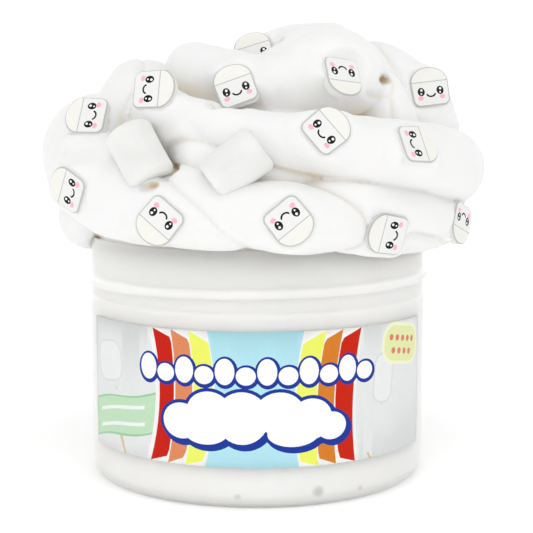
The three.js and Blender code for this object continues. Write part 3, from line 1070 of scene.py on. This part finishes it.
def setting_tree(name, material):
    """A tree that sets one shape on every point, turned the way that the point says."""
    tree = bpy.data.node_groups.new(name, "GeometryNodeTree")
    tree.interface.new_socket("Points", in_out="INPUT", socket_type="NodeSocketGeometry")
    tree.interface.new_socket("Shape", in_out="INPUT", socket_type="NodeSocketObject")
    size = tree.interface.new_socket("Size", in_out="INPUT", socket_type="NodeSocketFloat")
    size.default_value = 1
    tree.interface.new_socket("Set", in_out="OUTPUT", socket_type="NodeSocketGeometry")
    given = add(tree, "NodeGroupInput")
    shape = add(tree, "GeometryNodeObjectInfo", {"Object": given.outputs["Shape"]})
    facing = add(
        tree, "GeometryNodeInputNamedAttribute", {"Name": "facing"}, data_type="FLOAT_VECTOR"
    )
    top = add(tree, "GeometryNodeInputNamedAttribute", {"Name": "top"}, data_type="FLOAT_VECTOR")
    turned = add(
        tree,
        "FunctionNodeAxesToRotation",
        {
            "Primary Axis": facing.outputs["Attribute"],
            "Secondary Axis": top.outputs["Attribute"],
        },
        primary_axis="Z",
        secondary_axis="Y",
    )
    placed = add(
        tree,
        "GeometryNodeInstanceOnPoints",
        {
            "Points": given.outputs["Points"],
            "Instance": shape.outputs["Geometry"],
            "Rotation": turned.outputs["Rotation"],
            "Scale": given.outputs["Size"],
        },
    )
    real = add(tree, "GeometryNodeRealizeInstances", {"Geometry": placed.outputs["Instances"]})
    dressed = add(
        tree,
        "GeometryNodeSetMaterial",
        {"Geometry": real.outputs["Geometry"], "Material": material},
    )
    add(tree, "NodeGroupOutput", {"Set": dressed.outputs["Geometry"]})
    return tree


def charm_outline(inset):
    """A charm's outline, moved inwards: a rounded square face under a domed cap."""
    half, corner = CHARM["half"], CHARM["corner"]
    top = (CHARM["face"] + CHARM["dome"]) / 2
    seam = top - CHARM["dome"]
    line = []
    for i in range(25):
        a = math.pi * i / 24
        line.append(((half - inset) * math.cos(a), seam + (CHARM["dome"] - inset) * math.sin(a)))
    x, y, radius = half - CHARM["taper"] - corner, corner - top, corner - inset
    for sign, first in ((-1, 180), (1, 270)):
        for i in range(7):
            a = math.radians(first + 15 * i)
            line.append((sign * x + radius * math.cos(a), y + radius * math.sin(a)))
    return line


def charm_shape():
    """One charm, its back on z = 0 and its dome towards +Y, with its face printed on the front."""
    seam = (CHARM["face"] + CHARM["dome"]) / 2 - CHARM["dome"]
    edge = FACE["edge"]
    smile_down, smile_wide, smile_high = FACE["smile"]
    smile = []
    for i in range(9):
        a = math.radians(200 + 17.5 * i)
        smile.append((smile_wide * math.cos(a), seam - smile_down + smile_high * math.sin(a)))
    # The grey rim round the outline and the grey seam line are painted shade: on the rounded edge
    # and in the groove at the seam.
    white, cap, grey, black, pink = "#f0f0ee", "#f3f2ec", "#c4c4c2", "#050506", "#ffb9ce"
    rim, inside = charm_outline(0.0), charm_outline(edge)
    shapes = [(grey, rim), (white, inside)]
    dome = [(x, y) for x, y in inside if y > seam + 0.05]
    cap_end = CHARM["half"] - edge
    shapes.append((cap, [(cap_end, seam), *dome[1:-1], (-cap_end, seam)]))
    seam_end = cap_end + 0.04
    seam_line = [(-seam_end, seam), (0, seam + 0.02), (seam_end, seam)]
    shapes.append((grey, ribbon(seam_line, FACE["seam_pen"], False)))
    for side in (-1, 1):
        eye_out, eye_down, *eye_size = FACE["eye"]
        cheek_out, cheek_down, *cheek_size = FACE["cheek"]
        shapes.append((pink, oval(cheek_out * side, seam - cheek_down, *cheek_size)))
        shapes.append((black, oval(eye_out * side, seam - eye_down, *eye_size)))
        for glint, corners in (("glint", 14), ("small_glint", 12)):
            aside, down, *size = FACE[glint]
            outline = oval(eye_out * side + aside, seam - down, *size, 0, corners)
            shapes.append(("#ffffff", outline))
    shapes.append((black, ribbon(smile, FACE["pen"])))
    points, faces, shows = inked([outline for _, outline in shapes])
    colours = [shapes[i][0] for i in shows]
    raised = []
    for x, y in points:
        near = min(math.hypot(x - u, y - v) for u, v in rim)
        fall = max(0.0, edge - near) / edge
        raised.append((x, y, CHARM["thick"] - edge * (1 - math.sqrt(max(0.0, 1 - fall**2)))))
    return raised, faces, colours


# The printed front gets straight sides and a back.
front_points, front_faces, front_colours = charm_shape()
mesh = bpy.data.meshes.new("charm")
mesh.from_pydata([tuple(c * MM for c in p) for p in front_points], [], front_faces)
paint(mesh, front_colours, "#eeeeec")
body = bmesh.new()
body.from_mesh(mesh)
border = [e for e in body.edges if e.is_boundary]
walls = bmesh.ops.extrude_edge_only(body, edges=border)["geom"]
low = [v for v in walls if isinstance(v, bmesh.types.BMVert)]
for vertex in low:
    vertex.co.z = 0
layer = body.loops.layers.float_color["ink"]
sides = [f for f in walls if isinstance(f, bmesh.types.BMFace)]
loop = [e for e in walls if isinstance(e, bmesh.types.BMEdge) and e.is_boundary]
back = bmesh.ops.contextual_create(body, geom=loop)["faces"]
for face in sides + back:
    for corner in face.loops:
        corner[layer] = linear("#efefed")
bmesh.ops.recalc_face_normals(body, faces=body.faces)
body.to_mesh(mesh)
body.free()
mesh.shade_smooth()
mesh.set_sharp_from_angle(angle=math.radians(35))
charm_pattern = bpy.data.objects.new("charm_pattern", mesh)

charm_seats = [charm_seat(name) for name in CHARMS]
charms = grown_by(
    setting_tree("charms in the slime", resin_finish),
    "charm_set",
    [seat * MM for seat, _, _ in charm_seats],
    attributes={"facing": [f for _, f, _ in charm_seats], "top": [t for _, _, t in charm_seats]},
    objects={"Shape": charm_pattern},
)
ride_list.append((charms, CHARMS, "charm"))


def marshmallow_shape():
    """One marshmallow lying along Y, with rounded edges and slightly sunken ends."""
    radius, half, edge = MARSHMALLOW["radius"], MARSHMALLOW["length"] / 2, MARSHMALLOW["edge"]
    rings = [(0.0, half - 0.25), (2.0, half - 0.2), (3.4, half - 0.05)]
    for i in range(9):
        a = math.radians(90 - 11.25 * i)
        rings.append((radius - edge + edge * math.cos(a), half - edge + edge * math.sin(a)))
    rings += [(radius - 0.08, 3.5), (radius - 0.12, 1.2)]
    rings += [(r, -y) for r, y in reversed(rings)]
    points, faces = turned(rings, 48)
    return [(-y, z, x) for x, y, z in points], faces  # laid along Y


points, faces = marshmallow_shape()
mesh = bpy.data.meshes.new("marshmallow")
mesh.from_pydata([tuple(c * MM for c in p) for p in points], [], faces)
mesh.shade_smooth()
marshmallow_pattern = bpy.data.objects.new("marshmallow_pattern", mesh)
seats = [marshmallow_seat(name) for name in MARSHMALLOWS]
marshmallows = grown_by(
    setting_tree("marshmallows in the slime", foam_finish),
    "marshmallow_set",
    [seat * MM for seat, _, _ in seats],
    attributes={"facing": [f for _, f, _ in seats], "top": [t for _, _, t in seats]},
    objects={"Shape": marshmallow_pattern},
)
ride_list.append((marshmallows, MARSHMALLOWS, "marshmallow"))


# -------------------------------------------------------------------- the slime's worked surface


def lay_of(points):
    """Where each point lies on its nearest rope: mm along it, mm round it, and the rope's number.

    Also gives how nearly each lies on the line where two ropes meet at an angle, from 0 to 1."""
    alike, bent = 0.97, 0.57  # cosines between two ropes' sides: no crease, and a full one
    apart = 40.0  # keeps the patterns of two ropes apart
    best = np.full(len(points), 1e9)
    second = np.full(len(points), 1e9)
    out, second_out = np.zeros((2, len(points), 3))
    lay = np.zeros((len(points), 3))
    for number, (line, radii, marks) in enumerate(ropes):
        ahead = np.gradient(line, axis=0)
        ahead /= np.linalg.norm(ahead, axis=1)[:, None]
        away = line - HEAP_MIDDLE
        side = np.cross(ahead, away)
        side /= np.linalg.norm(side, axis=1)[:, None] + 1e-9
        up = np.cross(side, ahead)
        gaps = np.linalg.norm(points[:, None, :] - line[None], axis=2) - radii
        nearest = gaps.argmin(1)
        gap = gaps[np.arange(len(points)), nearest]
        closer = gap < best
        arm = points - line[nearest]
        away = arm / (np.linalg.norm(arm, axis=1)[:, None] + 1e-9)
        between = ~closer & (gap < second)
        second_out = np.where(closer[:, None], out, np.where(between[:, None], away, second_out))
        second = np.where(closer, best, np.where(between, gap, second))
        out = np.where(closer[:, None], away, out)
        best = np.where(closer, gap, best)
        angle = np.arctan2((arm * side[nearest]).sum(1), (arm * up[nearest]).sum(1))
        found = np.stack([marks[nearest], angle * radii[nearest], apart * number + 0 * gap], 1)
        lay = np.where(closer[:, None], found, lay)
    bend = np.clip((alike - (out * second_out).sum(1)) / (alike - bent), 0, 1)
    return lay, bend * np.clip(1 - (second - best) / CREASE_WIDTH, 0, 1)


def undulate(points, normals):
    """Gives the heap above the rim its soft kneaded swells and lumps."""
    moved = points.copy()
    for i, (x, y, z) in enumerate(points):
        if z < TUB["rim"] - 1:
            continue
        swell = SWELL_HEIGHT * noise.noise((x / SWELL, y / SWELL, z / SWELL))
        lump = LUMP_HEIGHT * noise.noise((x / LUMP + 7, y / LUMP, z / LUMP))
        moved[i] += normals[i] * (swell + lump)
    return moved


def press(points, seats):
    """Presses the charms in: the slime comes up round each one's edge and lies flat under it.

    Gives the points, and how near each lies to a charm's edge: 1 at the edge, 0 far off."""
    half_x, half_y = CHARM["half"], (CHARM["face"] + CHARM["dome"]) / 2
    brim, corner, deepest = PRESS["brim"], PRESS["corner"], PRESS["deepest"]
    near = np.zeros(len(points))
    for seat, facing, top in seats:
        side = np.cross(top, facing)
        arm = points - seat
        x, y, z = arm @ side, arm @ top, arm @ facing
        over = np.stack([np.abs(x) - half_x + corner, np.abs(y) - half_y + corner], 1)
        beside = np.linalg.norm(np.maximum(over, 0), axis=1) + np.minimum(over.max(1), 0) - corner
        sunk = PRESS["sink"] * np.clip(-beside / PRESS["inset"], 0, 1)
        away = np.clip(beside / PRESS["down_to"], 0, 1)
        limit = brim - sunk + PRESS["bank"] * away**2
        pressed = (z > limit) & (z < PRESS["highest"]) & (beside < PRESS["down_to"])
        points[pressed] -= facing * (z - limit)[pressed, None]
        away = np.clip(beside / PRESS["up_to"], 0, 1)
        level = brim - sunk - PRESS["fall"] * away
        hugging = (beside < PRESS["up_to"]) & (z < level) & (z > -deepest)
        share = (1 - away**2) ** 2 * np.clip((z + deepest) / 3, 0, 1)
        points[hugging] += facing * ((level - z) * share)[hugging, None]
        close = np.clip(1 - np.abs(beside) / 3.2, 0, 1) * (np.abs(z - brim) < 3)
        near = np.maximum(near, close)
    return points, near


def pitted_at(points, pits):
    """Sinks small deep pits into the heap. Gives the points, and how deep in a pit each lies."""
    nearest = 15  # mm from the axis, so that a pit leaves the heap's far side alone
    depths = np.zeros(len(points))
    for turn, aside, height, half_wide, half_high, depth in pits:
        out, side = around(turn, 1, 0), around(turn + 90, 1, 0)
        across, up = points @ side - aside, points[:, 2] - height
        inside = 1 - (across / half_wide) ** 2 - (up / half_high) ** 2
        sunk = (inside > 0) & (points @ out > nearest)
        points[sunk] -= out * (depth * inside[sunk, None] ** 0.7)
        depths[sunk] = inside[sunk] ** 0.4
    return points, depths


def neighbour_means(mesh):
    """A function that takes a value for each point, and gives the means of its neighbours'."""
    ends = np.array([tuple(e.vertices) for e in mesh.edges])
    size = len(mesh.vertices)
    count = np.maximum(np.bincount(ends.ravel(), minlength=size), 1)

    def means(values):
        total = np.bincount(ends[:, 0], values[ends[:, 1]], size)
        total += np.bincount(ends[:, 1], values[ends[:, 0]], size)
        return total / count

    return means


def eased(mesh, points, share, rounds):
    """Smooths the points, each by its own share."""
    means = neighbour_means(mesh)
    for _ in range(rounds):
        for k in range(3):
            points[:, k] += share * (means(points[:, k]) - points[:, k])
    return points


def softened(mesh, values, rounds=2):
    """Values at the points, each blended with its neighbours'."""
    means = neighbour_means(mesh)
    for _ in range(rounds):
        values = 0.5 * values + 0.5 * means(values)
    return values


def shelter_of(mesh, reach=14.0, rays=18):
    """How far each point lies in a crease: 0 is open, 1 is shut in.

    Rays fan out from each point of the heap in a spiral, and tell how near the slime stands."""
    golden_angle, lift, lowest = 2.399963, 0.4, 55
    tree = BVHTree.FromPolygons(
        [v.co / MM for v in mesh.vertices], [tuple(p.vertices) for p in mesh.polygons]
    )
    found = np.zeros(len(mesh.vertices))
    spiral = []
    for i in range(rays):
        r = math.sqrt((i + 0.5) / rays)
        a = i * golden_angle
        spiral.append((r * math.cos(a), r * math.sin(a), math.sqrt(1 - r * r)))
    for vertex in mesh.vertices:
        if vertex.co.z < lowest * MM:
            continue
        normal = vertex.normal
        side = normal.orthogonal().normalized()
        up = normal.cross(side)
        start = vertex.co / MM + normal * lift
        shut = 0.0
        for x, y, z in spiral:
            hit = tree.ray_cast(start, side * x + up * y + normal * z, reach)[3]
            if hit is not None:
                shut += 1 - (hit / reach) ** 2
        found[vertex.index] = shut / rays
    return found


points = coordinates(slime.data) / MM
normals = np.array([tuple(v.normal) for v in slime.data.vertices])
points, near_charm = press(undulate(points, normals), charm_seats)
points = eased(slime.data, points, 0.6 * np.minimum(1, 1.6 * near_charm), 5)
points, pit_depths = pitted_at(points, PITS)
_, crease = lay_of(points)
points -= normals * (CREASE_DEPTH * softened(slime.data, crease, 1)[:, None])
lowest, highest = (np.array(corner) / MM for corner in cad_box)
INSIDE = 0.02  # mm that the heap stays within the solid's box
points = np.clip(points, lowest + INSIDE, highest - INSIDE)
slime.data.vertices.foreach_set("co", (points * MM).ravel())
slime.data.update()

# What fills the tub reaches just into its wall and floor, so that no air shows behind the wall.
SOAK = 0.4
inner, fillet = TUB["body_radius"] - TUB["wall"], TUB["fillet"]
low, high = TUB["floor"] - SOAK, TUB["rim"] - SOAK
rings = [(0.0, low), (25.0, low)]
for i in range(7):
    a = math.radians(-90 + 15 * i)
    radius = fillet + SOAK
    rings.append((inner - fillet + radius * math.cos(a), low + radius + radius * math.sin(a)))
rings += [(inner + SOAK, z) for z in (10, 20, 30, 40, 50, 56, high)]
rings += [(30.0, high), (0.0, high)]
points, faces = turned(rings, 160)
filling = mesh_object("filling", np.array(points) * MM, faces)
body = bmesh.new()
body.from_mesh(slime.data)
heap_faces = len(body.faces)
body.from_mesh(filling.data)
body.faces.ensure_lookup_table()
for face in body.faces[heap_faces:]:
    face.material_index = 1
body.to_mesh(slime.data)
body.free()
slime.data.materials.append(wall_slime_painted_bright_finish)
bpy.data.objects.remove(filling)

points = coordinates(slime.data) / MM
lay, crease = lay_of(points)
slime.data.attributes.new("lay", "FLOAT_VECTOR", "POINT").data.foreach_set(
    "vector", (lay * MM).ravel()
)
shelter = shelter_of(slime.data)
heap_size = len(pit_depths)  # the filling's points come after the heap's
# Painted shade: the deeper a point lies in a pit, the more shut in it counts, so the painted crease
# shade darkens it.
shelter[:heap_size] = np.maximum(shelter[:heap_size], 0.98 * pit_depths)
for name, values in (("crease", crease), ("shelter", shelter)):
    slime.data.attributes.new(name, "FLOAT", "POINT").data.foreach_set(
        "value", softened(slime.data, values)
    )

# -------------------------------------------------------------------------------- floor and light

floor_finish, tree = finish_of("white studio paper")
# Painted light: the paper glows as if lit from behind, more strongly from 0.3 m out to 1.5 m,
# beyond the softboxes.
place = add(tree, "ShaderNodeTexCoord")
away = add(tree, "ShaderNodeVectorMath", {0: place.outputs["Object"]}, operation="LENGTH")
painted_floor_glow = add(
    tree,
    "ShaderNodeMapRange",
    {
        "Value": away.outputs["Value"],
        "From Min": 0.3,
        "From Max": 1.5,
        "To Min": 0.2,
        "To Max": 0.5,
    },
)
sweep = add(
    tree,
    "ShaderNodeBsdfPrincipled",
    {
        "Base Color": linear("#ffffff"),
        "Roughness": 0.9,
        "Emission Color": linear("#ffffff"),
        "Emission Strength": painted_floor_glow.outputs["Result"],
    },
)
add(tree, "ShaderNodeOutputMaterial", {"Surface": sweep.outputs["BSDF"]})
HALF_FLOOR = 6  # metres
corners = [(x * HALF_FLOOR, y * HALF_FLOOR, 0) for x, y in ((-1, -1), (1, -1), (1, 1), (-1, 1))]
floor = mesh_object("floor", corners, [(0, 1, 2, 3)], floor_finish)

world = bpy.data.worlds.new("studio")
bpy.context.scene.world = world
world.use_nodes = True
tree = world.node_tree
tree.nodes.clear()
path = add(tree, "ShaderNodeLightPath")
# Glossy walls mirror the lit white paper that stands all round.
glow = add(
    tree,
    "ShaderNodeMapRange",
    {"Value": path.outputs["Is Glossy Ray"], "To Min": 0.63, "To Max": 1.33},
)
room = add(
    tree, "ShaderNodeBackground", {"Color": (1, 1, 1, 1), "Strength": glow.outputs["Result"]}
)
paper_white = add(tree, "ShaderNodeBackground", {"Color": (1, 1, 1, 1), "Strength": 1.05})
seen = add(
    tree,
    "ShaderNodeMixShader",
    {0: path.outputs["Is Camera Ray"], 1: room.outputs[0], 2: paper_white.outputs[0]},
)
add(tree, "ShaderNodeOutputWorld", {"Surface": seen.outputs[0]})


def softbox(name, place, size, power):
    """A square lamp that points at the heap's foot: its place and size in metres, its watts."""
    lamp = bpy.data.lights.new(name, "AREA")
    lamp.size = size
    lamp.energy = power
    made = bpy.data.objects.new(name, lamp)
    made.location = place
    beam = Vector((0, 0, 0.07)) - Vector(place)
    made.rotation_euler = beam.to_track_quat("-Z", "Y").to_euler()
    bpy.context.scene.collection.objects.link(made)


softbox("front", (-0.15, -1.7, 0.06), size=1.5, power=3.8)
softbox("above", (0.1, -0.55, 1.3), size=1.2, power=5.2)
softbox("left", (-1.5, -0.7, 0.12), size=1.3, power=3.4)
softbox("right", (1.5, -0.7, 0.12), size=1.3, power=1.75)
bpy.context.scene.view_settings.view_transform = "Standard"

# --------------------------------------------------------------------------------------- hand over

for piece, nodes, slot in ride_list:
    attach(piece, "root")
    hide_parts(*nodes)
